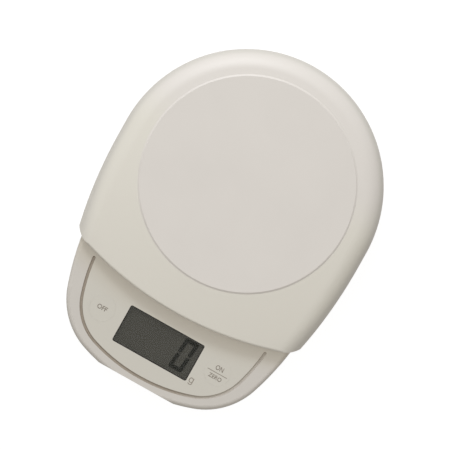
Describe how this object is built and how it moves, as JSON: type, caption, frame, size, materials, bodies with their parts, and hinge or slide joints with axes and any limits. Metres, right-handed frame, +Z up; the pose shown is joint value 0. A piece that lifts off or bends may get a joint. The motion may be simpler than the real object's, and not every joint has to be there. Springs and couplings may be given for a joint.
{
  "type": "digital kitchen scale",
  "caption": "Compact digital kitchen scale: round-backed platform over a slim case with a front display and push keys.",
  "frame": {"origin": "on the surface that the scale stands on, under the middle of its outline", "axes": "+X to the user's right, +Y from the display to the back, +Z up"},
  "size_m": [0.142, 0.188, 0.031],
  "materials": {
    "case_plastic": "satin",
    "platform_plastic": "satin",
    "key_plastic": "satin",
    "lens_plastic": "gloss",
    "display": "gloss",
    "tape": "matte",
    "frame_plastic": "satin",
    "strip_rubber": "matte",
    "board": "satin",
    "chip_resin": "satin",
    "capacitor_can": "satin",
    "resistor_ceramic": "satin",
    "plug_plastic": "satin",
    "switch_plastic": "satin",
    "screw_steel": "satin",
    "cell_aluminium": "satin",
    "plate_aluminium": "matte",
    "gauge_foil": "satin",
    "sealant": "satin",
    "grommet_rubber": "matte",
    "foot_rubber": "matte",
    "battery_can": "satin",
    "contact_nickel": "satin",
    "lead_grey": "satin",
    "lead_red": "satin",
    "lead_black": "satin"
  },
  "bodies": {
    "case": {"board_screws": "screw_steel", "bridge_contact": "contact_nickel", "capacitors": "capacitor_can", "case_screws": "screw_steel", "cell_lead": "lead_grey", "cell_screws": "screw_steel", "cell_spacer": "cell_aluminium", "circuit_board": "board", "contact_strip": "strip_rubber", "controller_chip": "chip_resin", "display_frame": "frame_plastic", "display_glass": "display", "front_battery": "battery_can", "gauge_sealant": "sealant", "lead_plug": "plug_plastic", "load_cell": "cell_aluminium", "lower_shell": "case_plastic", "negative_contact": "contact_nickel", "negative_lead": "lead_black", "off_switch": "switch_plastic", "on_switch": "switch_plastic", "overload_stop": "screw_steel", "positive_contact": "contact_nickel", "positive_lead": "lead_red", "rear_battery": "battery_can", "resistors": "resistor_ceramic", "rubber_feet": "foot_rubber", "strain_gauges": "gauge_foil", "upper_shell": "case_plastic", "window_lens": "lens_plastic", "window_tape": "tape"},
    "platform": {"platform": "platform_plastic", "platform_screws": "screw_steel", "grommets": "grommet_rubber", "load_plate": "plate_aluminium", "load_plate_screws": "screw_steel"},
    "off_key": {"off_key": "key_plastic", "off_switch_plunger": "switch_plastic"},
    "on_key": {"on_key": "key_plastic", "on_switch_plunger": "switch_plastic"},
    "battery_door": {"battery_door": "case_plastic"}
  },
  "joints": [
    {"name": "platform_press", "type": "slide", "parent": "case", "child": "platform", "axis": [0, 0, 1], "range_m": [-0.0006, 0], "stiffness_N_per_m": 50000, "springref_m": 0.00002, "deforming": ["load_cell"]},
    {"name": "off_key_press", "type": "slide", "parent": "case", "child": "off_key", "axis": [0, 0, 1], "range_m": [-0.00035, 0], "stiffness_N_per_m": 4500},
    {"name": "on_key_press", "type": "slide", "parent": "case", "child": "on_key", "axis": [0, 0, 1], "range_m": [-0.00035, 0], "stiffness_N_per_m": 4500},
    {"name": "battery_door_hinge", "type": "hinge", "parent": "case", "child": "battery_door", "pos_m": [0, -0.02165, 0.003], "axis": [1, 0, 0], "range_deg": [0, 85]}
  ]
}
